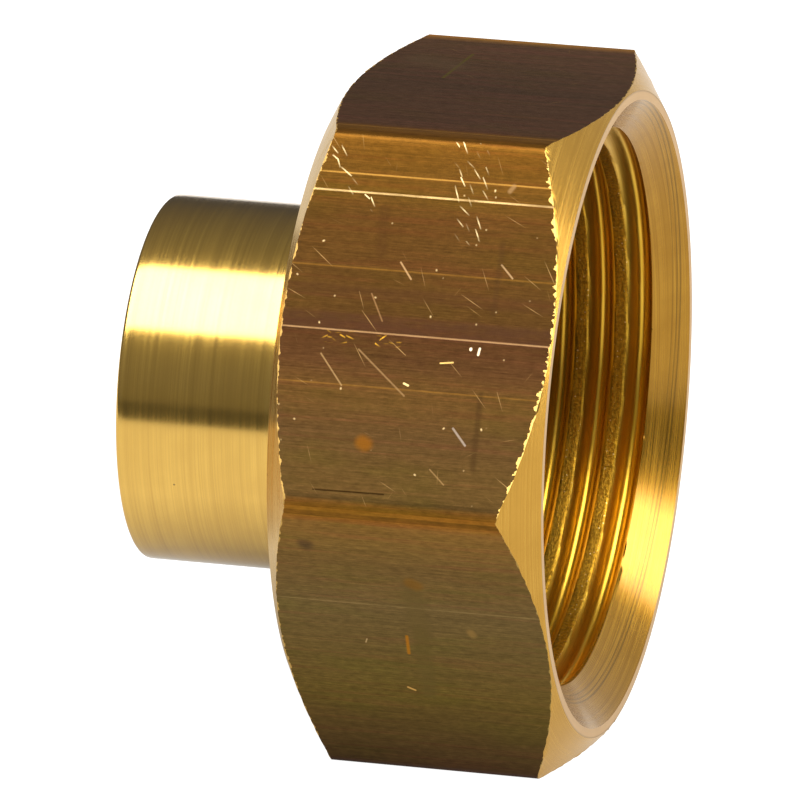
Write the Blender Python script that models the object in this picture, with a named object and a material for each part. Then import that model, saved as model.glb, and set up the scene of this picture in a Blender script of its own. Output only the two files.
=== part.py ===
"""Half of a flat-seat pipe union: a captive hexagonal nut, the solder tail that it swivels on,
and the flat sealing washer between the tail's flange and the spigot that screws into the nut.

Frame: metres, +X along the pipe towards the nut's mouth, +Z up. The nut lies on one of its six
flats, and the origin is on the ground under the middle of the whole object.
"""

import math

import bmesh
import bpy

# Pipe thread in the nut: parallel, 55 degree form, right hand, 11 threads to the inch
THREAD_MAJOR = 0.033249  # diameter at the roots of the nut's grooves
THREAD_PITCH = 0.002309
THREAD_HALF_ANGLE = math.radians(27.5)
THREAD_DEPTH_PER_PITCH = 0.640327  # groove depth of the full form
THREAD_FLAT_PER_PITCH = 1 / 6  # width of the flat at the bottom of a groove
THREAD_BORE_ALLOWANCE = 0.000454  # the bore is opened this far past the full form's crests
THREAD_START = math.radians(22.6)  # where a groove crosses the mouth, from +Y towards +Z

# Nut
NUT_LENGTH = 0.0158
NUT_WALL = 0.0018755  # between a groove's root and the middle of a flat
BAR_CORNER_RADIUS = 0.0006  # the drawn bar's corners are slightly round
MOUTH_CHAMFER_INSET = 0.0001  # from the flats to the ring that the chamfer leaves at the mouth
MOUTH_CHAMFER_ANGLE = math.radians(33)  # from the end face
BACK_CHAMFER_INSET = 0.0007
BACK_CHAMFER_ANGLE = math.radians(29)
RIM_WIDTH = 0.00055  # flat ring between the outer chamfer and the countersink
COUNTERSINK_HALF_ANGLE = math.radians(48)  # from the axis
COLLAR_THICKNESS = 0.0025  # the inner shoulder that pulls on the flange
RELIEF_LENGTH = 0.0029  # plain groove between the shoulder and the thread
RELIEF_DEPTH = 0.00015  # past the thread's roots
RELIEF_HALF_ANGLE = math.radians(60)  # from the axis, of the cone between relief and crests

# Solder tail
PIPE_DIAMETER = 0.0180
SOLDER_GAP = 0.00005  # between the pipe and its socket, on the radius
SOCKET_DEPTH = 0.0130
PIPE_STOP = 0.0010  # step on the radius that the pipe's end meets
TAIL_WALL = 0.0014
TAIL_STANDOUT = 0.01085  # from the nut's back face to the tail's end
TAIL_EDGE_BREAK = 0.0002
FLANGE_THICKNESS = 0.0028
FLANGE_FILLET = 0.0005
FLANGE_EDGE_BREAK = 0.0003

# Sealing washer
WASHER_THICKNESS = 0.0015
WASHER_BORE_MARGIN = 0.0022  # past the tail's waterway, on the radius

# Fits
SWIVEL_CLEARANCE = 0.0003  # tail in the collar's hole on the radius, and flange to shoulder
FLANGE_CLEARANCE = 0.0006  # flange and washer under the thread's crests, on the radius
WASHER_GAP = 0.0003  # washer to flange

# Fineness of the round faces
TURNED_STEPS = 64
FILLET_STEPS = 3
CORNER_STEPS = 4
HELIX_STEPS = 40  # for each turn of the thread
CUTTER_OVERRUN = 0.001
GROOVE_OVERLAP = 0.0003  # the groove's cutter starts this far inside the crests
GROOVE_OVERRUN = 0.25  # turns past each end of the thread

# Places along the axis
MOUTH_X = (NUT_LENGTH + TAIL_STANDOUT) / 2
BACK_X = MOUTH_X - NUT_LENGTH
TAIL_END_X = BACK_X - TAIL_STANDOUT
SHOULDER_X = BACK_X + COLLAR_THICKNESS
THREAD_END_X = SHOULDER_X + RELIEF_LENGTH
FLANGE_BACK_X = SHOULDER_X + SWIVEL_CLEARANCE
FLANGE_FACE_X = FLANGE_BACK_X + FLANGE_THICKNESS
WASHER_BACK_X = FLANGE_FACE_X + WASHER_GAP
WASHER_FACE_X = WASHER_BACK_X + WASHER_THICKNESS
PIPE_STOP_X = TAIL_END_X + SOCKET_DEPTH

# Radii
ROOT_RADIUS = THREAD_MAJOR / 2
CREST_RADIUS = ROOT_RADIUS - THREAD_DEPTH_PER_PITCH * THREAD_PITCH + THREAD_BORE_ALLOWANCE
FLAT_RADIUS = ROOT_RADIUS + NUT_WALL
CORNER_RADIUS = FLAT_RADIUS / math.cos(math.pi / 6)
MOUTH_CHAMFER_RADIUS = FLAT_RADIUS - MOUTH_CHAMFER_INSET
BACK_CHAMFER_RADIUS = FLAT_RADIUS - BACK_CHAMFER_INSET
COUNTERSINK_RADIUS = MOUTH_CHAMFER_RADIUS - RIM_WIDTH
RELIEF_RADIUS = ROOT_RADIUS + RELIEF_DEPTH
SOCKET_RADIUS = PIPE_DIAMETER / 2 + SOLDER_GAP
WATERWAY_RADIUS = SOCKET_RADIUS - PIPE_STOP
TAIL_RADIUS = SOCKET_RADIUS + TAIL_WALL
COLLAR_HOLE_RADIUS = TAIL_RADIUS + SWIVEL_CLEARANCE
FLANGE_RADIUS = CREST_RADIUS - FLANGE_CLEARANCE
WASHER_HOLE_RADIUS = WATERWAY_RADIUS + WASHER_BORE_MARGIN
AXIS_HEIGHT = FLAT_RADIUS


def clear_scene():
    for old in list(bpy.data.objects):
        bpy.data.objects.remove(old, do_unlink=True)


def material(name, colour, metallic, roughness):
    made = bpy.data.materials.new(name)
    made.use_nodes = True
    shader = made.node_tree.nodes["Principled BSDF"]
    shader.inputs["Base Color"].default_value = (*colour, 1.0)
    shader.inputs["Metallic"].default_value = metallic
    shader.inputs["Roughness"].default_value = roughness
    made.diffuse_color = (*colour, 1.0)
    return made


def object_on_axis(name, mesh):
    """An object whose origin is on the union's axis, at the height where the nut lies on a flat."""
    made = bpy.data.objects.new(name, mesh)
    made.location = (0.0, 0.0, AXIS_HEIGHT)
    bpy.context.scene.collection.objects.link(made)
    return made


def mesh_of(name, shape):
    bmesh.ops.recalc_face_normals(shape, faces=shape.faces)
    mesh = bpy.data.meshes.new(name)
    shape.to_mesh(mesh)
    shape.free()
    mesh.shade_smooth()
    mesh.set_sharp_from_angle(angle=math.radians(20))
    return mesh


def turned(name, profile):
    """A ring turned about the X axis from a closed outline of (x, radius) points."""
    shape = bmesh.new()
    rings = []
    for step in range(TURNED_STEPS):
        turn = 2 * math.pi * (step + 0.5) / TURNED_STEPS
        rings.append(
            [shape.verts.new((x, r * math.cos(turn), r * math.sin(turn))) for x, r in profile]
        )
    for here, after in zip(rings, rings[1:] + rings[:1]):
        for k in range(len(profile)):
            nxt = (k + 1) % len(profile)
            shape.faces.new((here[k], here[nxt], after[nxt], after[k]))
    return mesh_of(name, shape)


def spindle(name, profile):
    """A solid turned about the X axis from an open outline of (x, radius), closed at both ends."""
    shape = bmesh.new()
    rings = []
    for x, r in profile:
        turns = [2 * math.pi * (step + 0.5) / TURNED_STEPS for step in range(TURNED_STEPS)]
        rings.append([shape.verts.new((x, r * math.cos(t), r * math.sin(t))) for t in turns])
    for here, after in zip(rings, rings[1:]):
        for k in range(TURNED_STEPS):
            nxt = (k + 1) % TURNED_STEPS
            shape.faces.new((here[k], here[nxt], after[nxt], after[k]))
    shape.faces.new(rings[0])
    shape.faces.new(rings[-1])
    return mesh_of(name, shape)


def bar_outline():
    """The bar's cross-section as (y, z) points: six corners, each an arc between two flats."""
    arc_centre = (FLAT_RADIUS - BAR_CORNER_RADIUS) / math.cos(math.pi / 6)
    outline = []
    for corner in range(6):
        towards = math.pi / 3 * corner
        for step in range(CORNER_STEPS + 1):
            turn = towards - math.pi / 6 + math.pi / 3 * step / CORNER_STEPS
            outline.append(
                (
                    arc_centre * math.cos(towards) + BAR_CORNER_RADIUS * math.cos(turn),
                    arc_centre * math.sin(towards) + BAR_CORNER_RADIUS * math.sin(turn),
                )
            )
    return outline


def hexagonal_bar(name):
    """Hexagonal bar stock with flats facing up and down, longer than the nut at both ends."""
    shape = bmesh.new()
    outline = bar_outline()
    ends = []
    for x in (BACK_X - CUTTER_OVERRUN, MOUTH_X + CUTTER_OVERRUN):
        ends.append([shape.verts.new((x, y, z)) for y, z in outline])
    for k in range(len(outline)):
        nxt = (k + 1) % len(outline)
        shape.faces.new((ends[0][k], ends[0][nxt], ends[1][nxt], ends[1][k]))
    for end in ends:
        shape.faces.new(end)
    return mesh_of(name, shape)


def thread_groove(name):
    """The helical groove that the tap leaves: a trapezium carried along a right-hand helix."""
    inner_radius = CREST_RADIUS - GROOVE_OVERLAP
    root_half = THREAD_FLAT_PER_PITCH * THREAD_PITCH / 2
    inner_half = root_half + (ROOT_RADIUS - inner_radius) * math.tan(THREAD_HALF_ANGLE)
    section = [
        (-inner_half, inner_radius),
        (-root_half, ROOT_RADIUS),
        (root_half, ROOT_RADIUS),
        (inner_half, inner_radius),
    ]
    first_x = THREAD_END_X - inner_half - THREAD_PITCH * GROOVE_OVERRUN
    last_x = MOUTH_X + inner_half + THREAD_PITCH * GROOVE_OVERRUN
    steps = math.ceil((last_x - first_x) / THREAD_PITCH * HELIX_STEPS)
    phase = THREAD_START - 2 * math.pi * (MOUTH_X - first_x) / THREAD_PITCH
    shape = bmesh.new()
    rows = []
    for step in range(steps + 1):
        turn = 2 * math.pi * step / HELIX_STEPS
        x = first_x + THREAD_PITCH * step / HELIX_STEPS
        y = math.cos(turn + phase)
        z = math.sin(turn + phase)
        rows.append([shape.verts.new((x + dx, r * y, r * z)) for dx, r in section])
    for here, after in zip(rows, rows[1:]):
        for k in range(len(section)):
            nxt = (k + 1) % len(section)
            shape.faces.new((here[k], here[nxt], after[nxt], after[k]))
    shape.faces.new(rows[0])
    shape.faces.new(rows[-1])
    return mesh_of(name, shape)


def cutter(mesh):
    """A helper that shapes the nut and isn't part of the object."""
    made = object_on_axis(mesh.name, mesh)
    made.hide_render = True
    made.display_type = "WIRE"
    return made


def boolean(obj, helper, operation):
    step = obj.modifiers.new(helper.name, "BOOLEAN")
    step.operation = operation
    step.solver = "EXACT"
    step.object = helper


def make_swivel_nut():
    """Hexagonal bar, turned at both ends, bored from the mouth, relieved and tapped."""
    nut = object_on_axis("swivel_nut", hexagonal_bar("swivel_nut"))

    outside = CORNER_RADIUS + CUTTER_OVERRUN
    mouth_fall = (outside - MOUTH_CHAMFER_RADIUS) * math.tan(MOUTH_CHAMFER_ANGLE)
    back_fall = (outside - BACK_CHAMFER_RADIUS) * math.tan(BACK_CHAMFER_ANGLE)
    turning = spindle(
        "turned_outside",
        [
            (BACK_X, BACK_CHAMFER_RADIUS),
            (BACK_X + back_fall, outside),
            (MOUTH_X - mouth_fall, outside),
            (MOUTH_X, MOUTH_CHAMFER_RADIUS),
        ],
    )
    boolean(nut, cutter(turning), "INTERSECT")

    countersink_depth = (COUNTERSINK_RADIUS - CREST_RADIUS) / math.tan(COUNTERSINK_HALF_ANGLE)
    relief_cone = (RELIEF_RADIUS - CREST_RADIUS) / math.tan(RELIEF_HALF_ANGLE)
    bore = spindle(
        "stepped_bore",
        [
            (BACK_X - CUTTER_OVERRUN, COLLAR_HOLE_RADIUS),
            (SHOULDER_X, COLLAR_HOLE_RADIUS),
            (SHOULDER_X, RELIEF_RADIUS),
            (THREAD_END_X, RELIEF_RADIUS),
            (THREAD_END_X + relief_cone, CREST_RADIUS),
            (MOUTH_X - countersink_depth, CREST_RADIUS),
            (MOUTH_X, COUNTERSINK_RADIUS),
            (
                MOUTH_X + CUTTER_OVERRUN,
                COUNTERSINK_RADIUS + CUTTER_OVERRUN * math.tan(COUNTERSINK_HALF_ANGLE),
            ),
        ],
    )
    boolean(nut, cutter(bore), "DIFFERENCE")
    boolean(nut, cutter(thread_groove("thread_groove")), "DIFFERENCE")
    nut.data.materials.append(material("bar_brass", (0.30, 0.17, 0.075), 1.0, 0.32))
    return nut


def fillet(centre_x, centre_r, radius, first, last):
    """Points along an arc in the (x, radius) plane, between two angles in degrees."""
    turns = [first + (last - first) * k / FILLET_STEPS for k in range(FILLET_STEPS + 1)]
    return [
        (
            centre_x + radius * math.cos(math.radians(t)),
            centre_r + radius * math.sin(math.radians(t)),
        )
        for t in turns
    ]


def make_solder_tail():
    """Turned tail with a pipe socket, and the flange that the nut's shoulder pulls on."""
    profile = [
        (TAIL_END_X, SOCKET_RADIUS + TAIL_EDGE_BREAK),
        (TAIL_END_X, TAIL_RADIUS - TAIL_EDGE_BREAK),
        (TAIL_END_X + TAIL_EDGE_BREAK, TAIL_RADIUS),
    ]
    profile += fillet(
        FLANGE_BACK_X - FLANGE_FILLET, TAIL_RADIUS + FLANGE_FILLET, FLANGE_FILLET, 270, 360
    )
    profile += [
        (FLANGE_BACK_X, FLANGE_RADIUS - FLANGE_EDGE_BREAK),
        (FLANGE_BACK_X + FLANGE_EDGE_BREAK, FLANGE_RADIUS),
        (FLANGE_FACE_X - FLANGE_EDGE_BREAK, FLANGE_RADIUS),
        (FLANGE_FACE_X, FLANGE_RADIUS - FLANGE_EDGE_BREAK),
        (FLANGE_FACE_X, WATERWAY_RADIUS + TAIL_EDGE_BREAK),
        (FLANGE_FACE_X - TAIL_EDGE_BREAK, WATERWAY_RADIUS),
        (PIPE_STOP_X, WATERWAY_RADIUS),
        (PIPE_STOP_X, SOCKET_RADIUS),
        (TAIL_END_X + TAIL_EDGE_BREAK, SOCKET_RADIUS),
    ]
    tail = object_on_axis("solder_tail", turned("solder_tail", profile))
    tail.data.materials.append(material("turned_brass", (0.62, 0.42, 0.15), 1.0, 0.22))
    return tail


def make_sealing_washer():
    """Flat rubber ring that lies on the flange and seals against the spigot's end."""
    profile = [
        (WASHER_BACK_X, WASHER_HOLE_RADIUS),
        (WASHER_BACK_X, FLANGE_RADIUS),
        (WASHER_FACE_X, FLANGE_RADIUS),
        (WASHER_FACE_X, WASHER_HOLE_RADIUS),
    ]
    washer = object_on_axis("sealing_washer", turned("sealing_washer", profile))
    washer.data.materials.append(material("black_rubber", (0.02, 0.02, 0.022), 0.0, 0.7))
    return washer


clear_scene()
make_swivel_nut()
make_solder_tail()
make_sealing_washer()
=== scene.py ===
"""Looks of half a flat-seat pipe union: a captive hexagonal nut cut from drawn brass bar, the
turned solder tail that it swivels on, and the rubber washer between them.

Frame: metres, +X along the pipe towards the nut's mouth, +Z up. The nut lies on one of its flats,
and the pipe's axis runs over the origin.
"""

import math

import bpy
import numpy as np
from mathutils import Matrix, Vector


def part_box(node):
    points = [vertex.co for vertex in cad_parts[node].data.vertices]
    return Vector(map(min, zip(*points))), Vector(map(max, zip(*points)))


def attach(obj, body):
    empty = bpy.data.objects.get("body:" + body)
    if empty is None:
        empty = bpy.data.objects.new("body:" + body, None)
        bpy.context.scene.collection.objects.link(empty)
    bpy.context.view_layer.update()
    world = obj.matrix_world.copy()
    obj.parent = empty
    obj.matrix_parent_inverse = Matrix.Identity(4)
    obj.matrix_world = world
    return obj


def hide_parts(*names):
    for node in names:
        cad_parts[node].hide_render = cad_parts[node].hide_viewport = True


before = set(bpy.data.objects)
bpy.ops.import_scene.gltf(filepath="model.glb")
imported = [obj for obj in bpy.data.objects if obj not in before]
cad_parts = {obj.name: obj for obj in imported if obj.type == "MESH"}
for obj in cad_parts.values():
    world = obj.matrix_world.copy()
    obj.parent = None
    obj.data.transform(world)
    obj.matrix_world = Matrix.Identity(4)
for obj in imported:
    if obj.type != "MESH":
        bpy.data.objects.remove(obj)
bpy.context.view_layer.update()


# ---- Camera ----
# A long lens a little above the fitting, turned towards the nut's mouth, so that the pipe's axis
# runs across the view and the first turns of the thread show inside.
VIEW_AZIMUTH = math.radians(14.38)
VIEW_ELEVATION = math.radians(17.25)
VIEW_ROLL = math.radians(0.49)
VIEW_DISTANCE = 0.5962
LENS_MM = 472.6
AIM_RIGHT = -0.00469  # from the middle of the nut's flats, across the view
AIM_UP = 0.00012
FLATS_MIDDLE_X = 0.005385

nut_low, nut_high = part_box("swivel_nut")
AXIS_HEIGHT = (nut_low.z + nut_high.z) / 2

towards_camera = Vector(
    (
        math.sin(VIEW_AZIMUTH) * math.cos(VIEW_ELEVATION),
        -math.cos(VIEW_AZIMUTH) * math.cos(VIEW_ELEVATION),
        math.sin(VIEW_ELEVATION),
    )
)
view_right = Vector((math.cos(VIEW_AZIMUTH), math.sin(VIEW_AZIMUTH), 0.0))
view_up = towards_camera.cross(view_right)
aim = Vector((FLATS_MIDDLE_X, 0.0, AXIS_HEIGHT)) + AIM_RIGHT * view_right + AIM_UP * view_up
camera = bpy.data.objects.new("camera", bpy.data.cameras.new("camera"))
camera.data.lens = LENS_MM
camera.data.clip_start = 0.01
turned_camera = Matrix((view_right, view_up, towards_camera)).transposed().to_4x4()
camera.matrix_world = (
    Matrix.Translation(aim + VIEW_DISTANCE * towards_camera)
    @ turned_camera
    @ Matrix.Rotation(VIEW_ROLL, 4, "Z")
)
bpy.context.scene.collection.objects.link(camera)
bpy.context.scene.camera = camera
bpy.context.scene.view_settings.view_transform = "Standard"


# ---- Light table and studio ----
# The fitting lies on a glowing acrylic table under one long softbox, with white cards low down
# behind it and to its right. The rest of the room is dark, which gives the brass its contrast.
def linear(code):
    """A linear colour from an sRGB hex code."""
    parts = [int(code[k : k + 2], 16) / 255 for k in (0, 2, 4)]
    return [c / 12.92 if c <= 0.04045 else ((c + 0.055) / 1.055) ** 2.4 for c in parts]


def add(tree, kind, inputs=None, stops=None, **settings):
    """Adds a node and returns its outputs. Inputs are links or values, stops a ramp's colours."""
    made = tree.nodes.new("ShaderNode" + kind)
    for name, value in settings.items():
        setattr(made, name, value)
    for socket, value in (inputs or {}).items():
        if isinstance(value, bpy.types.NodeSocket):
            tree.links.new(value, made.inputs[socket])
        else:
            made.inputs[socket].default_value = value
    if stops:
        ramp = made.color_ramp.elements
        while len(ramp) < len(stops):
            ramp.new(1.0)
        for element, (place, colour) in zip(ramp, stops):
            element.position = place
            element.color = (*linear(colour), 1.0)
    return made.outputs


def new_material(name):
    """An empty node material with its Principled shader."""
    made = bpy.data.materials.new(name)
    made.use_nodes = True
    return made, made.node_tree, made.node_tree.nodes["Principled BSDF"]


world = bpy.data.worlds.new("studio")
world.use_nodes = True
tree = world.node_tree
for old in list(tree.nodes):
    tree.nodes.remove(old)
way = add(tree, "TexCoord")["Generated"]
# The viewer's side of the room is the lighter one, and its light grows towards the softbox.
LIGHTER_WAY = (-0.2, -0.6, 1.0)
toward = add(tree, "VectorMath", {0: way, 1: LIGHTER_WAY}, operation="DOT_PRODUCT")["Value"]
glow = add(tree, "MapRange", {0: toward, 1: -0.25, 2: 1.2, 3: 0.10, 4: 0.35})[0]
room = add(tree, "Background", {"Color": (1, 1, 1, 1), "Strength": glow})[0]
backdrop = add(tree, "Background", {"Color": (1, 1, 1, 1), "Strength": 1.0})[0]
seen = add(tree, "LightPath")["Is Camera Ray"]
mixed = add(tree, "MixShader", {0: seen, 1: room, 2: backdrop})[0]
add(tree, "OutputWorld", {"Surface": mixed})
bpy.context.scene.world = world


def panel(name, elevation, azimuth, distance, width, height, radiance):
    """A rectangular soft light that faces the fitting. Azimuth 0 is the viewer's side, 90 is +X."""
    e = math.radians(elevation)
    a = math.radians(azimuth)
    way = Vector((math.sin(a) * math.cos(e), -math.cos(a) * math.cos(e), math.sin(e)))
    data = bpy.data.lights.new(name, "AREA")
    data.shape = "RECTANGLE"
    data.size = width
    data.size_y = height
    data.energy = radiance * math.pi * width * height
    made = bpy.data.objects.new(name, data)
    made.location = Vector((0, 0, AXIS_HEIGHT)) + way * distance
    made.rotation_euler = way.to_track_quat("Z", "Y").to_euler()
    made.visible_camera = False
    bpy.context.scene.collection.objects.link(made)


panel("softbox", 68.0, 0, 1.5, 2.4, 1.2, 8.0)
panel("card_right_high", 22.0, 103.5, 1.4, 0.62, 0.29, 10.0)
panel("card_right_low", 5.5, 107, 1.4, 0.46, 0.19, 6.5)
panel("card_far_right", 16.0, 146, 1.5, 1.2, 1.0, 0.75)
panel("card_behind", 3.0, 180, 1.6, 0.8, 0.4, 0.6)

FLOOR_GAP = 0.00003


def level_sheet(name, near, far, height):
    """A flat sheet, 8 m wide, between two distances from the fitting (towards +Y)."""
    sheet = bpy.data.meshes.new(name)
    corners = [(-4.0, near, height), (4.0, near, height), (4.0, far, height), (-4.0, far, height)]
    sheet.from_pydata(corners, [], [(0, 1, 2, 3)])
    made = bpy.data.objects.new(name, sheet)
    bpy.context.scene.collection.objects.link(made)
    return made


made, tree, shader = new_material("opal_acrylic")
shader.inputs["Base Color"].default_value = (*linear("707070"), 1)
shader.inputs["Roughness"].default_value = 0.6
shader.inputs["Specular IOR Level"].default_value = 0.1
shader.inputs["Emission Color"].default_value = (1, 1, 1, 1)
# The table gives less light under the tail, in the fitting's shade, but looks evenly white.
where = add(tree, "TexCoord")["Object"]
UNDER_TAIL = (-0.009, 0.006, 0.0)
away = add(tree, "VectorMath", {0: where, 1: UNDER_TAIL}, operation="DISTANCE")["Value"]
lit = add(tree, "MapRange", {0: away, 1: 0.008, 2: 0.024, 3: 0.35, 4: 0.84})[0]
seen = add(tree, "LightPath")["Is Camera Ray"]
strength = add(tree, "MapRange", {0: seen, 3: lit, 4: 1.0})[0]
tree.links.new(strength, shader.inputs["Emission Strength"])
level_sheet("light_table", -4.0, 4.0, -FLOOR_GAP).data.materials.append(made)

# A black cloth in front keeps the table's glow out of the low reflections.
made, tree, shader = new_material("black_velvet")
shader.inputs["Base Color"].default_value = (0.01, 0.01, 0.01, 1)
shader.inputs["Roughness"].default_value = 1.0
cloth = level_sheet("black_cloth", -4.0, -0.1, 0.0005)
cloth.data.materials.append(made)
cloth.visible_camera = False
cloth.visible_shadow = False
cloth.visible_diffuse = False


# ---- Swivel nut ----
# Cut from hexagonal brass bar whose flats keep the brown skin of the drawing bench. Both ends are
# turned to a chamfer, then the nut is bored from the mouth, countersunk and tapped.
MM = 0.001
SKIN_MARGIN = 0.001  # keeps the skin inside the box of the plain solid that it replaces
MOUTH_X = nut_high.x / MM
BACK_X = nut_low.x / MM
FLAT_R = (nut_high.z - nut_low.z) / 2 / MM - SKIN_MARGIN
CORNER_R = 0.6
MOUTH_CHAMFER_R = FLAT_R - 0.1
MOUTH_CHAMFER_SLOPE = math.tan(math.radians(33))
BACK_CHAMFER_R = FLAT_R - 0.7
BACK_CHAMFER_SLOPE = math.tan(math.radians(29))
COUNTERSINK_R = MOUTH_CHAMFER_R - 0.55
COUNTERSINK_SLOPE = math.tan(math.radians(48))
RELIEF_SLOPE = math.tan(math.radians(60))
PITCH = 2.309  # the thread is the standard parallel pipe thread, opened a little at its crests
ROOT_R = 33.249 / 2
FULL_DEPTH = 0.640327 * PITCH
CREST_OPENING = 0.454
CREST_R = ROOT_R - FULL_DEPTH + CREST_OPENING
ROOT_ROUND = 0.18 * PITCH  # radius of the groove's bottom
CREST_WEAR = 0.05  # how far the crests' corners are rounded
FLANK = math.radians(27.5)
THREAD_START = math.radians(22.6)  # where a groove's middle crosses the mouth, from +Y to +Z
COLLAR_THICKNESS = 2.5
SHOULDER_X = BACK_X + COLLAR_THICKNESS
RELIEF_R = ROOT_R + 0.15
RELIEF_LENGTH = 2.9
RELIEF_END_X = SHOULDER_X + RELIEF_LENGTH
COLLAR_HOLE_R = 10.75
EDGE_BREAK = 0.15
COLLAR_EDGE_R = COLLAR_HOLE_R + EDGE_BREAK


def column_angles(between):
    """Angles round the axis: each rounded corner has seven, and each flat has some between."""
    centre = (FLAT_R - CORNER_R) / math.cos(math.pi / 6)
    arc = np.radians(np.linspace(-30, 30, 7))
    corner = np.arctan2(CORNER_R * np.sin(arc), centre + CORNER_R * np.cos(arc))
    flat = np.linspace(corner[-1], math.pi / 3 + corner[0], between + 2)[1:-1]
    sector = np.concatenate([corner, flat])
    return (sector[None, :] + np.arange(6)[:, None] * math.pi / 3).ravel() - corner[0]


def bar_radius(angle):
    """Distance from the axis to the bar's skin. On a flat it is the flat's distance over the
    cosine of the angle from its middle, and at a corner it is where the ray leaves the small
    circle that touches both flats."""
    off_corner = (angle + math.pi / 6) % (math.pi / 3) - math.pi / 6
    centre = (FLAT_R - CORNER_R) / math.cos(math.pi / 6)
    inside = np.clip(CORNER_R**2 - (centre * np.sin(off_corner)) ** 2, 0, None)
    arc = centre * np.cos(off_corner) + np.sqrt(inside)
    tangent = np.arctan2(CORNER_R * 0.5, centre + CORNER_R * math.cos(math.pi / 6))
    flat = FLAT_R / np.cos(math.pi / 6 - np.abs(off_corner))
    return np.where(np.abs(off_corner) < tangent, arc, flat)


def groove_middle(angle):
    """Where the middle of the groove's first turn lies along X: it climbs one pitch each turn."""
    return MOUTH_X + PITCH * (angle - THREAD_START) / (2 * math.pi)


def groove_radius(x, angle):
    """The tapped groove: an arc at the root and flanks at 27.5 degrees. The corner between flank
    and crest is worn: the height over the crest is the log of one plus the exponent of the
    flank's height, both in units of the wear."""
    off = (x - groove_middle(angle) + PITCH / 2) % PITCH - PITCH / 2
    away = np.abs(off)
    touch = ROOT_ROUND * math.cos(FLANK)
    centre = ROOT_R - ROOT_ROUND
    root = centre + np.sqrt(np.clip(ROOT_ROUND**2 - away**2, 0, None))
    flank = centre + ROOT_ROUND * math.sin(FLANK) - (away - touch) / math.tan(FLANK)
    over = np.logaddexp(0, (flank - CREST_R) / CREST_WEAR) * CREST_WEAR
    return np.where(away < touch, root, CREST_R + over)


def bore_radius(x):
    """The turned bore before tapping: the larger of two cones, which narrow from the mouth and
    from the relief, never under the crests and not past the relief's radius behind the thread."""
    countersink = COUNTERSINK_R - (MOUTH_X - x) * COUNTERSINK_SLOPE
    inner_cone = RELIEF_R - (x - RELIEF_END_X) * RELIEF_SLOPE
    behind = x < (RELIEF_END_X + MOUTH_X) / 2
    widest = np.where(behind, RELIEF_R, 2 * RELIEF_R)
    return np.clip(np.maximum(countersink, inner_cone), CREST_R, widest)


def settle(rows, gap, angle):
    """Moves the nearest row of each column on to the bottom and the two edges of the root's arc,
    or on to the edge where the groove leaves the countersink, where it crosses linearly."""
    half = gap / 2
    placed = rows.copy()
    touch = ROOT_ROUND * math.cos(FLANK)
    for place in (-touch, 0.0, touch):
        off = (rows - groove_middle(angle) - place + PITCH / 2) % PITCH - PITCH / 2
        placed = np.where(np.abs(off) <= half, rows - off, placed)
    before = bore_radius(rows - half) - groove_radius(rows - half, angle)
    after = bore_radius(rows + half) - groove_radius(rows + half, angle)
    crossing = (before * after < 0) & (before < after) & (np.abs(before) > 1e-9)
    share = np.clip(before / np.where(crossing, before - after, 1.0), 0, 1)
    return np.where(crossing, rows - half + 2 * half * share, placed)


def ring_points(x, r, angle):
    """Points at a distance r from the axis, as an array of (x, y, z) in metres."""
    x, r, angle = np.broadcast_arrays(x, r, angle)
    return np.stack([x, r * np.cos(angle), r * np.sin(angle) + AXIS_HEIGHT / MM], -1) * MM


def ring_faces(rows, columns):
    """Triangles over a grid that closes on itself both ways, as corner numbers."""
    k, j = np.meshgrid(np.arange(rows), np.arange(columns), indexing="ij")
    k2 = (k + 1) % rows
    j2 = (j + 1) % columns
    a, b, c, d = (k * columns + j, k * columns + j2, k2 * columns + j2, k2 * columns + j)
    return np.stack([np.stack([a, c, b], -1), np.stack([a, d, c], -1)], 2).reshape(-1, 3)


def skin(name, points, faces, sharp):
    """A mesh object at the origin from points and triangles, smooth but for its sharp edges."""
    mesh = bpy.data.meshes.new(name)
    mesh.vertices.add(len(points))
    mesh.vertices.foreach_set("co", points.astype(np.float32).ravel())
    mesh.loops.add(faces.size)
    mesh.loops.foreach_set("vertex_index", faces.astype(np.int32).ravel())
    mesh.polygons.add(len(faces))
    mesh.polygons.foreach_set("loop_start", np.arange(0, faces.size, 3, dtype=np.int32))
    mesh.update(calc_edges=True)
    mesh.validate()
    mesh.shade_smooth()
    mesh.set_sharp_from_angle(angle=math.radians(sharp))
    made = bpy.data.objects.new(name, mesh)
    bpy.context.scene.collection.objects.link(made)
    return made


COLUMNS_ON_A_FLAT = 57
TORN_AT_MOUTH = 0.022  # mm, how far the chamfer's edge wanders on the flats
TORN_AT_BACK = 0.015
angle = column_angles(COLUMNS_ON_A_FLAT)[None, :]
hexagon = bar_radius(angle)
ragged = np.random.default_rng(7)
torn_mouth = ragged.normal(0.0, TORN_AT_MOUTH, angle.shape)
torn_back = ragged.normal(0.0, TORN_AT_BACK, angle.shape)
mouth_cone = MOUTH_X - (hexagon - MOUTH_CHAMFER_R) * MOUTH_CHAMFER_SLOPE
back_cone = BACK_X + (hexagon - BACK_CHAMFER_R) * BACK_CHAMFER_SLOPE
mouth_crease = mouth_cone + torn_mouth
back_crease = back_cone + torn_back


def spread(count, first, last):
    """Rows from one place to another, both arrays over the columns, leaving out the last."""
    share = np.arange(count)[:, None] / count
    return first + (last - first) * share


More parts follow.
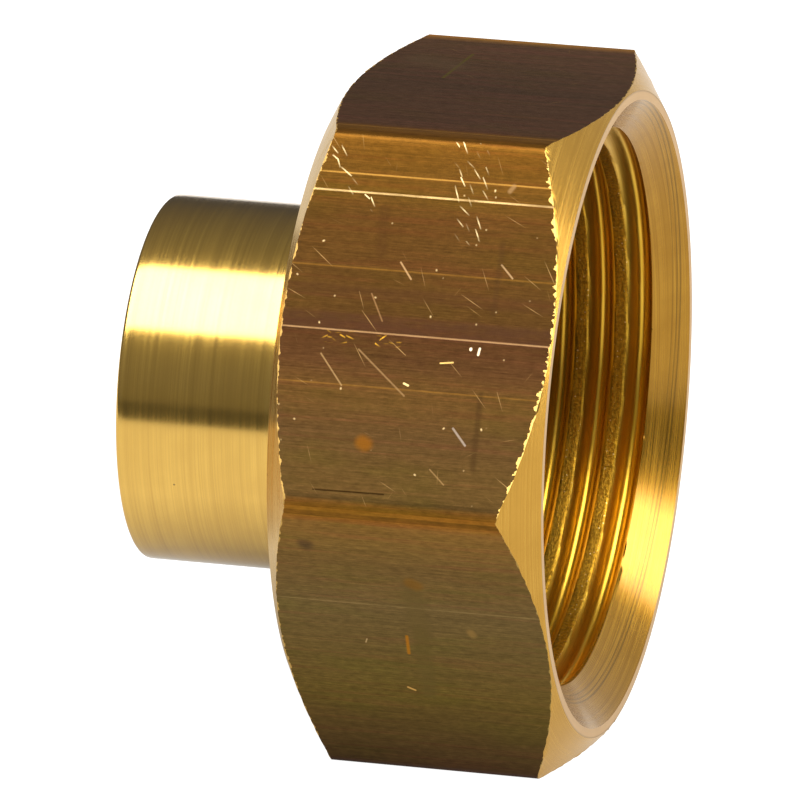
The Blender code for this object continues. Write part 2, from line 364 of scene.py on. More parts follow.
one = np.ones_like(angle)
CHAMFER_ROWS = 10
mouth_chamfer_x = spread(CHAMFER_ROWS, mouth_cone, MOUTH_X * one)
mouth_chamfer_x[0] = mouth_crease
countersink_end = MOUTH_X - (COUNTERSINK_R - CREST_R) / COUNTERSINK_SLOPE
THREAD_ROWS = 86
COUNTERSINK_ROWS = 22
thread_rows = spread(THREAD_ROWS, countersink_end * one, RELIEF_END_X * one)
mouth_rows = spread(COUNTERSINK_ROWS, MOUTH_X * one, countersink_end * one)
thread_gap = (countersink_end - RELIEF_END_X) / THREAD_ROWS
mouth_gap = (MOUTH_X - countersink_end) / COUNTERSINK_ROWS
bored_x = np.concatenate(
    [
        mouth_rows[:1],
        settle(mouth_rows[1:], mouth_gap, angle),
        thread_rows[:1],
        settle(thread_rows[1:], thread_gap, angle),
    ]
)
bored_r = np.maximum(bore_radius(bored_x), groove_radius(bored_x, angle))


def stretch(finish, count, first, last):
    """Rows of one finish from one place (x, radius) to another, leaving out the last."""
    x = spread(count, first[0] * one, last[0] * one)
    r = spread(count, first[1] * one, last[1] * one)
    return finish, x, r


# The outline round the nut's wall, from the collar's hole outwards and back in from the mouth.
inner_back = (BACK_X + EDGE_BREAK, COLLAR_HOLE_R)
inner_front = (SHOULDER_X - EDGE_BREAK, COLLAR_HOLE_R)
stretches = [
    stretch("back", 6, (BACK_X, COLLAR_EDGE_R), (BACK_X, BACK_CHAMFER_R)),
    stretch("back", 6, (BACK_X, BACK_CHAMFER_R), (back_crease, hexagon)),
    stretch("bar", 20, (back_crease, hexagon), (mouth_crease, hexagon)),
    ("turned", mouth_chamfer_x, spread(CHAMFER_ROWS, hexagon, MOUTH_CHAMFER_R * one)),
    stretch("rim", 3, (MOUTH_X, MOUTH_CHAMFER_R), (MOUTH_X, COUNTERSINK_R)),
    ("sink", bored_x[:COUNTERSINK_ROWS], bored_r[:COUNTERSINK_ROWS]),
    ("tapped", bored_x[COUNTERSINK_ROWS:], bored_r[COUNTERSINK_ROWS:]),
    stretch("turned", 6, (RELIEF_END_X, RELIEF_R), (SHOULDER_X, RELIEF_R)),
    stretch("turned", 6, (SHOULDER_X, RELIEF_R), (SHOULDER_X, COLLAR_EDGE_R)),
    stretch("turned", 1, (SHOULDER_X, COLLAR_EDGE_R), inner_front),
    stretch("turned", 5, inner_front, inner_back),
    stretch("turned", 1, inner_back, (BACK_X, COLLAR_EDGE_R)),
]
outline_x = np.concatenate([x for _, x, _ in stretches])
outline_r = np.concatenate([r for _, _, r in stretches])
finish_of_row = np.concatenate([[kind] * len(x) for kind, x, _ in stretches])
nut_points = ring_points(outline_x, outline_r, angle).reshape(-1, 3)
nut_faces = ring_faces(*outline_x.shape)
nut = skin("union_nut", nut_points, nut_faces, sharp=24)
nut_slots = ["bar", "turned", "sink", "tapped", "back", "rim"]
row_slot = np.array([nut_slots.index(kind) for kind in finish_of_row], np.int32)
nut.data.polygons.foreach_set(
    "material_index", np.repeat(row_slot, 2 * outline_x.shape[1]).astype(np.int32)
)


def axis_coordinates(tree):
    """Millimetres along the axis and away from it, and the angle round it from +Y towards +Z."""
    place = add(tree, "TexCoord")["Object"]
    scaled = add(tree, "VectorMath", {0: place, 3: 1 / MM}, operation="SCALE")[0]
    part = add(tree, "SeparateXYZ", {0: scaled})
    z = add(tree, "Math", {0: part["Z"], 1: AXIS_HEIGHT / MM}, operation="SUBTRACT")[0]
    section = add(tree, "CombineXYZ", {1: part["Y"], 2: z})[0]
    r = add(tree, "VectorMath", {0: section}, operation="LENGTH")["Value"]
    turn = add(tree, "Math", {0: z, 1: part["Y"]}, operation="ARCTAN2")[0]
    return scaled, part["X"], r, turn


def streaks(tree, along, across, length, width, detail=3.0):
    """Noise from 0 to 1 in streaks of about this length and width."""
    u = add(tree, "Math", {0: along, 1: 1 / length}, operation="MULTIPLY")[0]
    w = add(tree, "Math", {0: across, 1: 1 / width}, operation="MULTIPLY")[0]
    spot = add(tree, "CombineXYZ", {0: u, 1: w})[0]
    look = {"Vector": spot, "Scale": 1.0, "Detail": detail, "Roughness": 0.6}
    return add(tree, "TexNoise", look, noise_dimensions="2D")[0]


def scratches(tree, spot, cell, slope, spread, length, width, share):
    """Short strokes, at most one per cell, turned by slope plus or minus spread (degrees)."""
    moved = add(tree, "VectorMath", {0: spot, 3: 1 / cell}, operation="SCALE")[0]
    cells = add(tree, "TexVoronoi", {"Vector": moved, "Scale": 1.0}, voronoi_dimensions="2D")
    chance = add(tree, "SeparateColor", {0: cells["Color"]})
    away = add(tree, "VectorMath", {0: moved, 1: cells["Position"]}, operation="SUBTRACT")[0]
    low = math.radians(slope - spread)
    high = math.radians(slope + spread)
    turned = add(tree, "MapRange", {0: chance[0], 3: -low, 4: -high})[0]
    local = add(tree, "VectorRotate", {"Vector": away, "Angle": turned}, rotation_type="Z_AXIS")
    part = add(tree, "SeparateXYZ", {0: local[0]})
    off = add(tree, "Math", {0: part["Y"]}, operation="ABSOLUTE")[0]
    reach = add(tree, "Math", {0: part["X"]}, operation="ABSOLUTE")[0]
    longest = add(tree, "MapRange", {0: chance[1], 3: 0.2 * length / cell, 4: 0.5 * length / cell})
    inside = add(tree, "MapRange", {0: reach, 1: longest[0], 2: 0.0, 4: chance[1]})[0]
    core = add(tree, "MapRange", {0: off, 1: 0.6 * width / cell, 2: 0.2 * width / cell})[0]
    there = add(tree, "Math", {0: chance[2], 1: share}, operation="LESS_THAN")[0]
    both = add(tree, "Math", {0: inside, 1: there}, operation="MULTIPLY")[0]
    return add(tree, "Math", {0: both, 1: core}, operation="MULTIPLY")[0]


def mark(tree, spot, first, last, half_width, soft):
    """One within half a width of the line between two places, and zero past the soft edge."""
    run = Vector(last) - Vector(first)
    from_first = add(tree, "VectorMath", {0: spot, 1: (*first, 0)}, operation="SUBTRACT")[0]
    dot = {0: from_first, 1: (*(run / max(run.length_squared, 1e-6)), 0)}
    share = add(tree, "VectorMath", dot, operation="DOT_PRODUCT")["Value"]
    share = add(tree, "Math", {0: share, 1: 1.0}, operation="MULTIPLY", use_clamp=True)[0]
    nearest = add(tree, "VectorMath", {0: (*run, 0), 3: share}, operation="SCALE")[0]
    off = add(tree, "VectorMath", {0: from_first, 1: nearest}, operation="DISTANCE")["Value"]
    edge = {0: off, 1: half_width + soft, 2: half_width}
    return add(tree, "MapRange", edge, interpolation_type="SMOOTHSTEP")[0]


def paint(tree, under, colour, cover, amount=1.0):
    """Lays a hex colour over another where cover is one."""
    part = add(tree, "Math", {0: cover, 1: amount}, operation="MULTIPLY", use_clamp=True)[0]
    look = {0: part, 6: under, 7: (*linear(colour), 1)}
    return add(tree, "Mix", look, data_type="RGBA")[2]


# Drawn brass bar: metallic, with a brown oxide skin. The die leaves fine lines along it, and
# tumbling among other nuts leaves short bright scratches.
made, tree, shader = new_material("drawn_brass_bar")
place, x, r, turn = axis_coordinates(tree)
turns = add(tree, "Math", {0: turn, 1: 1 / (2 * math.pi)}, operation="MULTIPLY")[0]
around = add(tree, "Math", {0: turns, 1: 1.0, 2: 0.0}, operation="WRAP")[0]
sixths = add(tree, "Math", {0: around, 1: 6.0}, operation="MULTIPLY")[0]
side = add(tree, "Math", {0: sixths}, operation="FLOOR")[0]
within = add(tree, "Math", {0: sixths, 1: side}, operation="SUBTRACT")[0]
tilt = add(tree, "MapRange", {0: within, 3: math.pi / 6, 4: -math.pi / 6})[0]
tangent = add(tree, "Math", {0: tilt}, operation="TANGENT")[0]
across = add(tree, "Math", {0: tangent, 1: FLAT_R}, operation="MULTIPLY")[0]
SIDE_STEP = 50.0  # mm between neighbouring flats in the pattern's plane
spaced = add(tree, "Math", {0: side, 1: SIDE_STEP, 2: across}, operation="MULTIPLY_ADD")[0]
from_middle = add(tree, "Math", {0: x, 1: FLATS_MIDDLE_X / MM}, operation="SUBTRACT")[0]
spot = add(tree, "CombineXYZ", {0: from_middle, 1: spaced})[0]

# The colour changes round the nut. Each flat has its own oxide tone. The corners carry thin bright
# painted highlights, brightest at the top front corner. The lower front flat is painted darker
# towards the bottom, as shade near the table.
colour = add(
    tree,
    "ValToRGB",
    {0: around},
    stops=[
        (0.000, "4a3420"),
        (0.160, "4a3424"),
        (0.167, "a07030"),
        (0.174, "4f3928"),
        (0.250, "443224"),
        (0.318, "493324"),
        (0.329, "4a3012"),
        (0.3327, "5c3c12"),
        (0.3337, "e8b858"),
        (0.3345, "6c4614"),
        (0.3366, "583910"),
        (0.357, "503612"),
        (0.366, "482f12"),
        (0.410, "452e13"),
        (0.422, "402813"),
        (0.436, "452c17"),
        (0.450, "4e3618"),
        (0.470, "48331a"),
        (0.485, "4b371a"),
        (0.4962, "4b371a"),
        (0.4974, "82561a"),
        (0.5040, "86581c"),
        (0.507, "7b5829"),
        (0.520, "71562a"),
        (0.530, "69502a"),
        (0.560, "65512e"),
        (0.620, "5f4c22"),
        (0.645, "523f1f"),
        (0.664, "43311b"),
        (0.750, "463220"),
        (1.000, "4a3420"),
    ],
)[0]
fine = streaks(tree, x, spaced, 6.0, 0.09)
medium = streaks(tree, x, spaced, 14.0, 0.5)
wide = streaks(tree, x, spaced, 9.0, 2.4)
speckle = streaks(tree, x, spaced, 0.45, 0.09)
mottle = streaks(tree, x, spaced, 0.7, 0.35)
shade = add(tree, "MapRange", {0: fine, 1: 0.25, 2: 0.75, 3: 0.83, 4: 1.17})[0]
shade2 = add(tree, "MapRange", {0: medium, 1: 0.3, 2: 0.7, 3: 0.90, 4: 1.10})[0]
shade3 = add(tree, "MapRange", {0: speckle, 1: 0.25, 2: 0.75, 3: 0.86, 4: 1.14})[0]
shade = add(tree, "Math", {0: shade, 1: shade2}, operation="MULTIPLY")[0]
shade4 = add(tree, "MapRange", {0: mottle, 1: 0.3, 2: 0.7, 3: 0.88, 4: 1.12})[0]
shade = add(tree, "Math", {0: shade, 1: shade3}, operation="MULTIPLY")[0]
shade = add(tree, "Math", {0: shade, 1: shade4}, operation="MULTIPLY")[0]
colour = add(tree, "VectorMath", {0: colour, 3: shade}, operation="SCALE")[0]
reddish = add(tree, "MapRange", {0: medium, 1: 0.52, 2: 0.68})[0]
olive = add(tree, "MapRange", {0: wide, 1: 0.5, 2: 0.68})[0]
red_cast = add(tree, "VectorMath", {0: colour, 1: (0.98, 0.86, 0.95)}, operation="MULTIPLY")[0]
colour = add(tree, "Mix", {0: reddish, 6: colour, 7: red_cast}, data_type="RGBA")[2]
olive_cast = add(tree, "VectorMath", {0: colour, 1: (0.96, 1.04, 0.9)}, operation="MULTIPLY")[0]
colour = add(tree, "Mix", {0: olive, 6: colour, 7: olive_cast}, data_type="RGBA")[2]

# Lines that run the whole length, where the die was chipped.
FRONT = 2 * SIDE_STEP
LOWER = 3 * SIDE_STEP
TOP = 1 * SIDE_STEP
level = add(tree, "CombineXYZ", {1: spaced})[0]
for height, half_width, shown, amount in (
    (FRONT + 8.34, 0.02, "b8883c", 0.55),
    (FRONT + 7.30, 0.025, "d0ac70", 0.75),
    (FRONT + 3.00, 0.02, "906424", 0.30),
    (FRONT - 0.59, 0.02, "c89c68", 0.75),
    (FRONT - 3.66, 0.02, "906424", 0.30),
    (FRONT - 0.15, 0.34, "3c2518", 0.6),
    (FRONT + 1.60, 0.25, "3c2414", 0.40),
    (LOWER + 3.02, 0.02, "a88c58", 0.25),
    (LOWER + 10.2, 0.12, "48300c", 0.60),
    (TOP - 9.30, 0.03, "b08038", 0.50),
    (TOP - 9.55, 0.35, "6a4818", 0.60),
):
    line_here = mark(tree, level, (0, height), (0, height), half_width, half_width + 0.03)
    worn = streaks(tree, x, spaced, 1.6, 0.5)
    patchy = add(tree, "MapRange", {0: worn, 1: 0.3, 2: 0.6, 3: 0.45, 4: 1.0})[0]
    line_here = add(tree, "Math", {0: line_here, 1: patchy}, operation="MULTIPLY")[0]
    colour = paint(tree, colour, shown, line_here, amount)

# Smears, spots and single long scratches.
for first, last, half_width, soft, shown, amount in (
    ((-5.0, FRONT - 2.0), (-3.6, FRONT - 3.7), 0.01, 0.06, "98784c", 0.6),
    ((-2.9, FRONT - 1.6), (0.0, FRONT - 4.0), 0.01, 0.07, "8c6c44", 0.55),
    ((-1.2, FRONT + 3.5), (-0.5, FRONT + 2.6), 0.01, 0.07, "a88458", 0.7),
    ((-2.6, FRONT + 1.6), (-1.8, FRONT + 0.1), 0.01, 0.06, "8c6840", 0.5),
    ((4.5, FRONT + 3.8), (5.2, FRONT + 3.1), 0.01, 0.07, "a08058", 0.7),
    ((-2.0, FRONT - 6.8), (-1.8, FRONT - 6.9), 0.15, 0.45, "744408", 0.6),
    ((4.3, FRONT - 3.6), (4.4, FRONT - 7.8), 0.03, 0.25, "30200f", 0.45),
    ((4.4, FRONT + 5.0), (4.4, FRONT + 1.0), 0.03, 0.25, "342212", 0.3),
    ((-2.5, FRONT + 6.4), (-2.4, FRONT + 4.0), 0.10, 0.35, "38220f", 0.35),
    ((-4.4, FRONT - 9.66), (-0.4, FRONT - 9.62), 0.02, 0.05, "1c1004", 0.75),
    ((4.6, FRONT + 8.3), (4.4, FRONT + 8.0), 0.04, 0.16, "907048", 0.5),
    ((3.4, FRONT - 1.05), (3.4, FRONT - 1.10), 0.05, 0.05, "f0d8b0", 0.9),
    ((3.9, FRONT - 1.0), (3.85, FRONT - 1.35), 0.04, 0.05, "f0d8b0", 0.8),
    ((1.8, FRONT - 2.0), (2.5, FRONT - 1.9), 0.01, 0.06, "e0b868", 0.8),
    ((-0.1, FRONT - 3.3), (0.15, FRONT - 3.4), 0.03, 0.05, "f0d088", 0.8),
    ((3.0, FRONT - 5.6), (3.8, FRONT - 6.5), 0.02, 0.07, "988878", 0.6),
    ((2.0, FRONT - 8.0), (2.9, FRONT - 8.8), 0.01, 0.05, "907044", 0.5),
    ((0.6, LOWER + 4.6), (0.75, LOWER + 1.0), 0.35, 0.5, "5e4c28", 0.55),
    ((0.7, LOWER + 1.0), (0.6, LOWER - 4.0), 0.20, 0.45, "5a4a24", 0.5),
    ((0.6, LOWER + 5.1), (0.9, LOWER + 4.9), 0.15, 0.45, "7c5010", 0.45),
    ((-0.15, LOWER + 0.6), (-0.2, LOWER - 0.8), 0.03, 0.12, "a8680c", 0.7),
    ((3.6, LOWER + 1.4), (3.7, LOWER + 1.2), 0.08, 0.28, "8a6a38", 0.6),
    ((-5.2, LOWER + 7.6), (-5.0, LOWER + 7.5), 0.10, 0.5, "302420", 0.5),
    ((-2.5, TOP + 6.9), (-2.9, TOP + 1.6), 0.02, 0.14, "50481c", 0.7),
    ((-5.0, TOP + 5.0), (-3.0, TOP + 4.2), 0.2, 1.4, "50402c", 0.5),
    ((-0.6, LOWER - 3.7), (-0.2, LOWER - 3.9), 0.03, 0.06, "c89850", 0.8),
    ((-2.6, LOWER - 0.2), (-2.5, LOWER + 0.1), 0.01, 0.05, "b89868", 0.7),
):
    smear = mark(tree, spot, first, last, half_width, soft)
    colour = paint(tree, colour, shown, smear, amount)

# Bright nicks: two crowded patches and some squiggles on the front flat, and a few everywhere.
front_only = mark(tree, level, (0, FRONT), (0, FRONT), 10.2, 0.3)
crowd = mark(tree, spot, (-5.6, FRONT + 9.2), (-3.6, FRONT + 6.9), 0.35, 0.5)
crowd2 = mark(tree, spot, (1.9, FRONT + 10.2), (2.4, FRONT + 5.8), 0.6, 0.5)
crowd = add(tree, "Math", {0: crowd, 1: crowd2}, operation="MAXIMUM")[0]
nicks = scratches(tree, spot, 0.7, -52, 18, 1.3, 0.08, 0.85)
nicks = add(tree, "Math", {0: nicks, 1: crowd}, operation="MULTIPLY")[0]
nicks2 = scratches(tree, spot, 1.7, -48, 28, 2.0, 0.05, 0.34)
nicks2 = add(tree, "Math", {0: nicks2, 1: front_only}, operation="MULTIPLY")[0]
few = scratches(tree, spot, 2.3, -20, 80, 1.2, 0.05, 0.3)
dots = scratches(tree, spot, 0.9, 0, 90, 0.22, 0.11, 0.08)
dots = add(tree, "Math", {0: dots, 1: front_only}, operation="MULTIPLY")[0]
squiggle_zone = mark(tree, spot, (-4.8, FRONT - 0.95), (-0.9, FRONT - 1.0), 0.15, 0.3)
squiggles = scratches(tree, spot, 0.4, 5, 40, 0.9, 0.09, 0.7)
squiggles = add(tree, "Math", {0: squiggles, 1: squiggle_zone}, operation="MULTIPLY")[0]
colour = paint(tree, colour, "e4c890", nicks, 1.3)
colour = paint(tree, colour, "a88450", nicks2, 0.7)
colour = paint(tree, colour, "8c6c3c", few, 0.45)
colour = paint(tree, colour, "d0b078", dots, 1.0)
colour = paint(tree, colour, "b88828", squiggles, 1.1)

# Burrs: turning the chamfers pushes a ragged lip over the ends of each flat. At the mouth's crease
# the lip is also a painted highlight, bright and less metallic, widest and strongest on the front
# flat.
reach = add(tree, "Math", {0: r, 1: MOUTH_CHAMFER_R}, operation="SUBTRACT")[0]
crease = {0: reach, 1: -MOUTH_CHAMFER_SLOPE, 2: MOUTH_X}
crease = add(tree, "Math", crease, operation="MULTIPLY_ADD")[0]
to_mouth = add(tree, "Math", {0: crease, 1: x}, operation="SUBTRACT")[0]
ragged_width = streaks(tree, x, spaced, 1.2, 0.5, 6.0)
ragged_width = add(tree, "MapRange", {0: ragged_width, 1: 0.42, 2: 0.7, 3: -0.03, 4: 0.27})[0]
burr_highlight_size = add(tree, "MapRange", {0: front_only, 3: 0.35, 4: 1.0})[0]
lip = add(tree, "Math", {0: ragged_width, 1: burr_highlight_size}, operation="MULTIPLY")[0]
burr_highlight = add(tree, "Math", {0: to_mouth, 1: lip}, operation="LESS_THAN")[0]
burr_highlight_share = add(tree, "MapRange", {0: front_only, 3: 0.3, 4: 1.0})[0]
burr_highlight = add(tree, "Math", {0: burr_highlight, 1: burr_highlight_share}, operation="MULTIPLY")[0]
# Painted highlight along the mouth's crease, laid over the burr.
colour = paint(tree, colour, "e8c068", burr_highlight)
reach_back = add(tree, "Math", {0: r, 1: BACK_CHAMFER_R}, operation="SUBTRACT")[0]
crease_back = {0: reach_back, 1: BACK_CHAMFER_SLOPE, 2: BACK_X}
crease_back = add(tree, "Math", crease_back, operation="MULTIPLY_ADD")[0]
to_back = add(tree, "Math", {0: x, 1: crease_back}, operation="SUBTRACT")[0]
thin = add(tree, "Math", {0: ragged_width, 1: 0.45}, operation="MULTIPLY")[0]
burr_back = add(tree, "Math", {0: to_back, 1: thin}, operation="LESS_THAN")[0]
colour = paint(tree, colour, "c8a058", burr_back, 0.7)

bright = add(tree, "Math", {0: burr_highlight, 1: nicks}, operation="MAXIMUM")[0]
bright = add(tree, "Math", {0: bright, 1: dots}, operation="MAXIMUM")[0]
metal = add(tree, "MapRange", {0: bright, 3: 0.6, 4: 0.3})[0]
rough = add(tree, "MapRange", {0: medium, 1: 0.3, 2: 0.7, 3: 0.32, 4: 0.42})[0]
fine_height = add(tree, "Math", {0: fine, 1: 0.5, 2: speckle}, operation="MULTIPLY_ADD")[0]
relief = add(tree, "Bump", {"Strength": 0.3, "Distance": 0.00001, "Height": fine_height})[0]
tree.links.new(colour, shader.inputs["Base Color"])
tree.links.new(metal, shader.inputs["Metallic"])
tree.links.new(rough, shader.inputs["Roughness"])
tree.links.new(relief, shader.inputs["Normal"])
shader.inputs["Specular IOR Level"].default_value = 0.1
shader.inputs["Specular Tint"].default_value = (*linear("a08060"), 1)
drawn_brass = made


def ring_coordinates(tree):
    """The direction away from the axis, and a distance that changes along any turned face."""
    place, x, r, turn = axis_coordinates(tree)
    upright = {0: place, 1: (0.0, 0.0, AXIS_HEIGHT / MM)}
    centred = add(tree, "VectorMath", upright, operation="SUBTRACT")[0]
    section = add(tree, "VectorMath", {0: centred, 1: (0, 1, 1)}, operation="MULTIPLY")[0]
    heading = add(tree, "VectorMath", {0: section}, operation="NORMALIZE")[0]
    step = add(tree, "Math", {0: r, 1: -2.0, 2: x}, operation="MULTIPLY_ADD")[0]
    return place, r, turn, heading, step


def ring_marks(tree, heading, step, cells, width, detail=3.0):
    """Noise from 0 to 1 in marks of this width that run round the axis, some cells a radian."""
    along = add(tree, "VectorMath", {0: heading, 3: cells}, operation="SCALE")[0]
    across = add(tree, "Math", {0: step, 1: 1 / width}, operation="MULTIPLY")[0]
    shift = add(tree, "CombineXYZ", {0: across})[0]
    spot = add(tree, "VectorMath", {0: along, 1: shift}, operation="ADD")[0]
    return add(tree, "TexNoise", {"Vector": spot, "Scale": 1.0, "Detail": detail})[0]


def turned_finish(name, bright, dull, smooth, coarse, lacquer=0.0, dark_rings=()):
    """Turned brass: tool marks that run round the axis, in brightness, gloss and fine relief."""
    made, tree, shader = new_material(name)
    place, r, turn, heading, step = ring_coordinates(tree)
    hair = ring_marks(tree, heading, step, 0.8, 0.05)
    band = ring_marks(tree, heading, step, 0.3, 0.3)
    patches = add(tree, "TexNoise", {"Vector": place, "Scale": 0.35, "Detail": 3.0})[0]
    speck = add(tree, "TexVoronoi", {"Vector": place, "Scale": 0.42})
    speck_size = add(tree, "SeparateColor", {0: speck["Color"]})[0]
    speck_size = add(tree, "MapRange", {0: speck_size, 1: 0.55, 2: 1.0, 3: 0.0, 4: 0.05})[0]
    dark_dot = add(tree, "Math", {0: speck["Distance"], 1: speck_size}, operation="LESS_THAN")[0]
    both = add(tree, "Math", {0: hair, 1: band}, operation="ADD")[0]
    worn = add(tree, "MapRange", {0: both, 1: 0.65, 2: 1.35})[0]
    dulled = add(tree, "MapRange", {0: patches, 1: 0.4, 2: 0.65, 3: 0.0, 4: 0.4})[0]
    both_colours = {0: worn, 6: (*linear(dull), 1), 7: (*linear(bright), 1)}
    colour = add(tree, "Mix", both_colours, data_type="RGBA")[2]
    colour = paint(tree, colour, dull, dulled)
    colour = paint(tree, colour, "4a3810", dark_dot, 0.8)
    rough = add(tree, "MapRange", {0: both, 1: 0.65, 2: 1.35, 3: smooth, 4: coarse})[0]
    # Each dark ring is a chatter mark, or, at the rim, painted shade for a thin bevel.
    for start, rise, half_width, depth in dark_rings:
        ring_middle = add(tree, "Math", {0: turn, 1: rise, 2: start}, operation="MULTIPLY_ADD")[0]
        off = add(tree, "Math", {0: r, 1: ring_middle}, operation="SUBTRACT")[0]
        off = add(tree, "Math", {0: off}, operation="ABSOLUTE")[0]
        cut = add(tree, "MapRange", {0: off, 1: half_width, 2: 0.3 * half_width})[0]
        colour = paint(tree, colour, "5a4010", cut, depth)
    relief = add(tree, "Bump", {"Strength": 0.14, "Distance": 0.00001, "Height": hair})[0]
    tree.links.new(colour, shader.inputs["Base Color"])
    tree.links.new(rough, shader.inputs["Roughness"])
    tree.links.new(relief, shader.inputs["Normal"])
    shader.inputs["Metallic"].default_value = 1.0
    shader.inputs["Specular Tint"].default_value = (*linear("f8f0e0"), 1)
    shader.inputs["Coat Weight"].default_value = lacquer
    shader.inputs["Coat Roughness"].default_value = 0.15
    return made


turned_brass = turned_finish("turned_brass", "c49844", "ac8034", 0.18, 0.30)
# Chatter marks that climb with the thread: radius at +Y, rise a radian, half width and depth.
SINK_CURLS = ((17.3, 0.42, 0.06, 0.6), (17.12, 0.42, 0.05, 0.55), (16.9, 0.42, 0.04, 0.45))
# The countersink's brass is painted darker and more saturated than the chamfer's, as shade inside
# the mouth.
sink_brass = turned_finish("countersunk_brass", "b4862c", "8c600e", 0.19, 0.32, 0.3, SINK_CURLS)
back_brass = turned_finish("turned_back", "d4b06c", "b49048", 0.2, 0.35)
# A dark ring at the rim's outer edge: painted shade for a thin bevel that the mesh leaves out.
RIM_BEVEL_SHADE = ((MOUTH_CHAMFER_R, 0.0, 0.12, 0.4),)
rim_brass = turned_finish("faced_rim", "d0b088", "b89468", 0.3, 0.5, 0.0, RIM_BEVEL_SHADE)

# Tapped brass: the tap tears the crests, which are left grainy, and polishes the flanks.
made, tree, shader = new_material("tapped_brass")
place, r, turn, heading, step = ring_coordinates(tree)
hair = ring_marks(tree, heading, step, 1.2, 0.07)
grain = add(tree, "TexNoise", {"Vector": place, "Scale": 6.0, "Detail": 5.0})[0]
glints = add(tree, "TexVoronoi", {"Vector": place, "Scale": 5.0})
glint_size = add(tree, "SeparateColor", {0: glints["Color"]})[0]
glint_size = add(tree, "MapRange", {0: glint_size, 1: 0.65, 2: 1.0, 3: 0.0, 4: 0.3})[0]
glint = add(tree, "Math", {0: glints["Distance"], 1: glint_size}, operation="LESS_THAN")[0]
crest = add(tree, "MapRange", {0: r, 1: CREST_R + 0.10, 2: CREST_R + 0.02})[0]
torn = add(tree, "MapRange", {0: grain, 1: 0.38, 2: 0.62})[0]
grainy = add(tree, "Math", {0: crest, 1: torn}, operation="MULTIPLY")[0]
glint = add(tree, "Math", {0: crest, 1: glint}, operation="MULTIPLY")[0]
worn = add(tree, "MapRange", {0: hair, 1: 0.3, 2: 0.7})[0]
both_colours = {0: worn, 6: (*linear("c89a2a"), 1), 7: (*linear("dcb040"), 1)}
colour = add(tree, "Mix", both_colours, data_type="RGBA")[2]
colour = paint(tree, colour, "b07c18", crest, 0.5)
colour = paint(tree, colour, "5c3c0c", grainy, 0.5)
colour = paint(tree, colour, "f4d890", glint, 0.7)
rough = add(tree, "MapRange", {0: crest, 3: 0.30, 4: 0.42})[0]
height = add(tree, "Math", {0: grainy, 1: 3.0, 2: hair}, operation="MULTIPLY_ADD")[0]
relief = add(tree, "Bump", {"Strength": 0.35, "Distance": 0.00001, "Height": height})[0]
tree.links.new(colour, shader.inputs["Base Color"])
tree.links.new(rough, shader.inputs["Roughness"])
tree.links.new(relief, shader.inputs["Normal"])
shader.inputs["Metallic"].default_value = 1.0
tapped_brass = made

for finish in (drawn_brass, turned_brass, sink_brass, tapped_brass, back_brass, rim_brass):
    nut.data.materials.append(finish)
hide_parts("swivel_nut")
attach(nut, "nut")


# ---- Solder tail ----
# Turned from round brass bar: a thin-walled socket for the copper pipe, a shoulder inside that
# stops the pipe, and the flange that the nut's collar holds.
tail_low, tail_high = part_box("solder_tail")
TAIL_END_X = tail_low.x / MM
FLANGE_FACE_X = tail_high.x / MM
FLANGE_THICKNESS = 2.8
FLANGE_BACK_X = FLANGE_FACE_X - FLANGE_THICKNESS
SOCKET_R = 9.05
TAIL_R = 10.45
WATERWAY_R = 8.05
FLANGE_R = 14.96
SOCKET_DEPTH = 13.0
PIPE_STOP_X = TAIL_END_X + SOCKET_DEPTH
FILLET = 0.5


def arc(centre_x, centre_r, radius, first, last, steps):
    """Points along an arc in the plane of (x, distance from the axis), angles in degrees."""
    turn = np.radians(np.linspace(first, last, steps))
    return np.stack([centre_x + radius * np.cos(turn), centre_r + radius * np.sin(turn)], -1)


def line(first, last, steps):
    """Points along a straight stretch of an outline, both ends left out."""
    share = np.linspace(0, 1, steps + 2)[1:-1, None]
    return np.array(first) + (np.array(last) - np.array(first)) * share


def turned_outline(corners):
    """An outline that goes through arcs in turn, with rows along the straight stretches."""
    pieces = []
    for k, here in enumerate(corners):
        after = corners[(k + 1) % len(corners)]
        length = np.linalg.norm(after[0] - here[-1])
        pieces.append(here)
        pieces.append(line(here[-1], after[0], int(length / 0.5)))
    return np.concatenate(pieces)


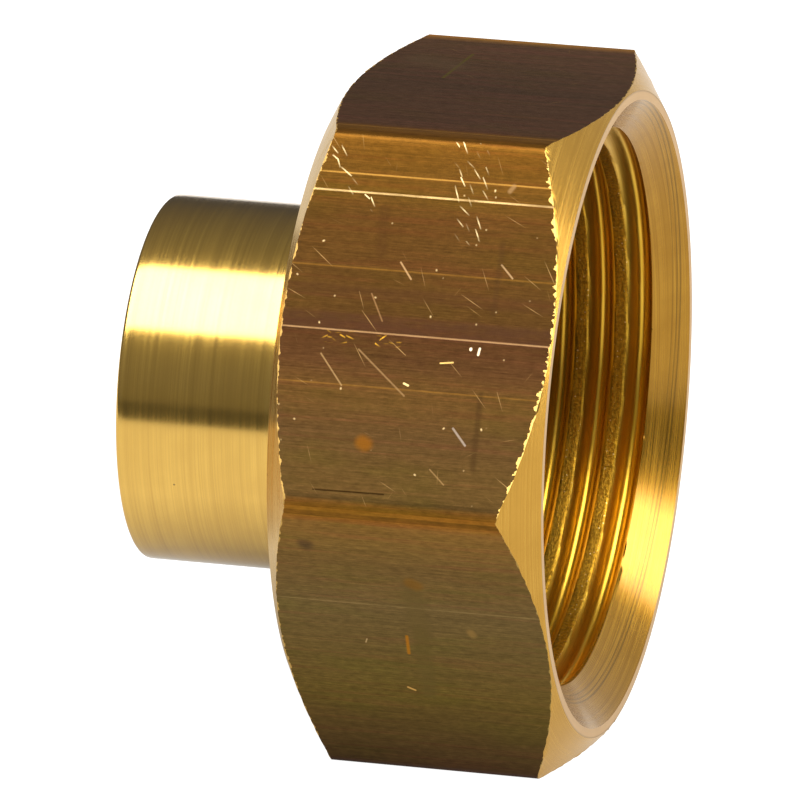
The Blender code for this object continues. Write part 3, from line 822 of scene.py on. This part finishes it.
EDGE = 0.2
tail_outline = turned_outline(
    [
        arc(TAIL_END_X + EDGE, TAIL_R - EDGE, EDGE, 180, 90, 5),
        arc(FLANGE_BACK_X - FILLET, TAIL_R + FILLET, FILLET, 270, 360, 7),
        arc(FLANGE_BACK_X + EDGE, FLANGE_R - EDGE, EDGE, 180, 90, 5),
        arc(FLANGE_FACE_X - EDGE, FLANGE_R - EDGE, EDGE, 90, 0, 5),
        arc(FLANGE_FACE_X - EDGE, WATERWAY_R + EDGE, EDGE, 0, -90, 5),
        arc(PIPE_STOP_X + EDGE, WATERWAY_R + EDGE, EDGE, 270, 180, 5),
        np.array([[PIPE_STOP_X, SOCKET_R]]),
        arc(TAIL_END_X + EDGE, SOCKET_R + EDGE, EDGE, 270, 180, 5),
    ]
)
TAIL_COLUMNS = 256
tail_angle = np.linspace(0, 2 * math.pi, TAIL_COLUMNS, endpoint=False)[None, :]
tail_points = ring_points(tail_outline[:, :1], tail_outline[:, 1:], tail_angle).reshape(-1, 3)
tail = skin("tail", tail_points, ring_faces(len(tail_outline), TAIL_COLUMNS), sharp=40)
tail.data.materials.append(turned_finish("turned_tail", "dab050", "c29840", 0.12, 0.2, 0.7))
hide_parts("solder_tail")
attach(tail, "tail")


# ---- Sealing washer ----
# A flat ring stamped from black rubber sheet. It lies loose on the tail's flange, and the nut
# squeezes it against the end of the mating spigot.
washer_low, washer_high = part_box("sealing_washer")
WASHER_BACK_X = washer_low.x / MM
WASHER_FACE_X = washer_high.x / MM
WASHER_HOLE_R = 10.25
WASHER_R = 14.95
SOFT_EDGE = 0.18
washer_outline = turned_outline(
    [
        arc(WASHER_BACK_X + SOFT_EDGE, WASHER_R - SOFT_EDGE, SOFT_EDGE, 180, 90, 5),
        arc(WASHER_FACE_X - SOFT_EDGE, WASHER_R - SOFT_EDGE, SOFT_EDGE, 90, 0, 5),
        arc(WASHER_FACE_X - SOFT_EDGE, WASHER_HOLE_R + SOFT_EDGE, SOFT_EDGE, 0, -90, 5),
        arc(WASHER_BACK_X + SOFT_EDGE, WASHER_HOLE_R + SOFT_EDGE, SOFT_EDGE, 270, 180, 5),
    ]
)
WASHER_COLUMNS = 192
washer_angle = np.linspace(0, 2 * math.pi, WASHER_COLUMNS, endpoint=False)[None, :]
washer_points = ring_points(
    washer_outline[:, :1], washer_outline[:, 1:], washer_angle
).reshape(-1, 3)
washer_faces = ring_faces(len(washer_outline), WASHER_COLUMNS)
washer = skin("washer", washer_points, washer_faces, sharp=40)
# Black rubber: dark and matt, with no tool marks.
made, tree, shader = new_material("black_rubber")
shader.inputs["Base Color"].default_value = (*linear("1c1c1e"), 1)
shader.inputs["Roughness"].default_value = 0.65
washer.data.materials.append(made)
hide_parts("sealing_washer")
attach(washer, "washer")
